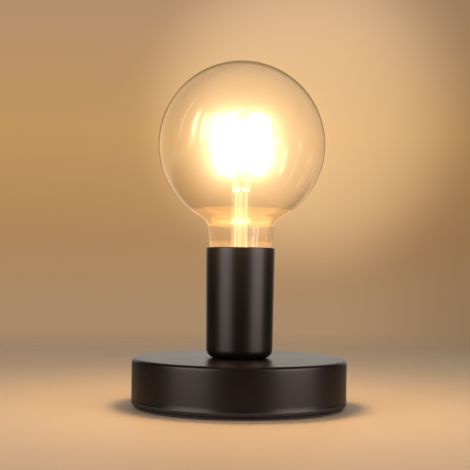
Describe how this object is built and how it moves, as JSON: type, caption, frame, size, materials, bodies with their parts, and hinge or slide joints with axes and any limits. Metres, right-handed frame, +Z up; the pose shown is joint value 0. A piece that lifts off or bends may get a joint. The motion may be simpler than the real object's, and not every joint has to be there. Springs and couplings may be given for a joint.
{
  "type": "bare bulb table lamp",
  "caption": "Small table lamp: weighted round metal base, cylindrical socket cover and a clear globe filament bulb that screws out of its lampholder.",
  "frame": {"origin": "middle of the base's underside, on the surface that the lamp stands on", "axes": "+Z up along the bulb's axis; +Y to the rear, where the cord inlet is; +X to the right seen from the front"},
  "size_m": [0.1214, 0.1245, 0.1965],
  "materials": {
    "black_paint": "satin black-brown powder coat on pressed steel",
    "black_plate": "matte black sheet steel",
    "foot_rubber": "matte",
    "cast_iron": "rough cast",
    "zinc_steel": "zinc plated",
    "brass": "plain",
    "bronze": "spring bronze strip",
    "black_plastic": "moulded, matte",
    "holder_plastic": "moulded thermoset, satin",
    "white_plastic": "moulded",
    "porcelain": "unglazed",
    "nickel_shell": "rolled, plated",
    "nickel_cap": "rolled, nickel plated",
    "wire_brown": "insulation",
    "wire_blue": "insulation",
    "wire_green": "insulation",
    "solder": "soldered tip",
    "black_glass": "fused black insulator, glossy",
    "cement": "basing cement",
    "clear_glass": "clear blown glass",
    "stem_glass": "clear drawn glass",
    "nickel_wire": "drawn wire",
    "board": "circuit board",
    "capacitor": "sleeved can",
    "fuse_body": "lacquered",
    "led_phosphor": "phosphor coat, lit warm white"
  },
  "bodies": {
    "stand": {"foot_pad": "foot_rubber", "bottom_plate": "black_plate", "base_shell": "black_paint", "ballast_weight": "cast_iron", "bottom_screws": "zinc_steel", "cord_gland": "black_plastic", "gland_nut": "black_plastic", "threaded_tube": "zinc_steel", "earth_tag": "brass", "lock_washer": "zinc_steel", "base_nut": "zinc_steel", "tube_washer": "zinc_steel", "cover_nut": "zinc_steel", "terminal_block": "white_plastic", "terminal_screws": "brass", "block_screw": "zinc_steel", "socket_cover": "black_paint", "holder_dome": "holder_plastic", "holder_grub_screw": "zinc_steel", "holder_sleeve": "holder_plastic", "contact_insert": "porcelain", "screw_shell": "nickel_shell", "side_contact": "bronze", "center_contact": "bronze", "holder_terminal_screws": "brass", "live_wire": "wire_brown", "neutral_wire": "wire_blue", "earth_wire": "wire_green"},
    "bulb_foot": {"bulb_foot_contact": "solder"},
    "bulb": {"cap_insulator": "black_glass", "cap_shell": "nickel_cap", "cap_cement": "cement", "glass_envelope": "clear_glass", "glass_stem": "stem_glass", "exhaust_tube": "stem_glass", "led_filaments": "led_phosphor", "lead_wires": "nickel_wire", "filament_post": "stem_glass", "filament_hoop": "nickel_wire", "filament_tabs": "nickel_wire", "driver_board": "board", "driver_capacitor": "capacitor", "driver_chip": "black_plastic", "driver_fuse": "fuse_body", "driver_leads": "nickel_wire"}
  },
  "joints": [
    {"name": "bulb_travel", "type": "slide", "parent": "stand", "child": "bulb_foot", "axis": [0, 0, 1], "range_m": [0, 0.0363]},
    {"name": "bulb_turn", "type": "hinge", "parent": "bulb_foot", "child": "bulb", "pos_m": [0, 0, 0.0595], "axis": [0, 0, 1], "range_deg": [0, 3600]}
  ],
  "couplings": [
    {"joint": "bulb_travel", "follows": "bulb_turn", "m_per_rad": 0.00057757}
  ]
}
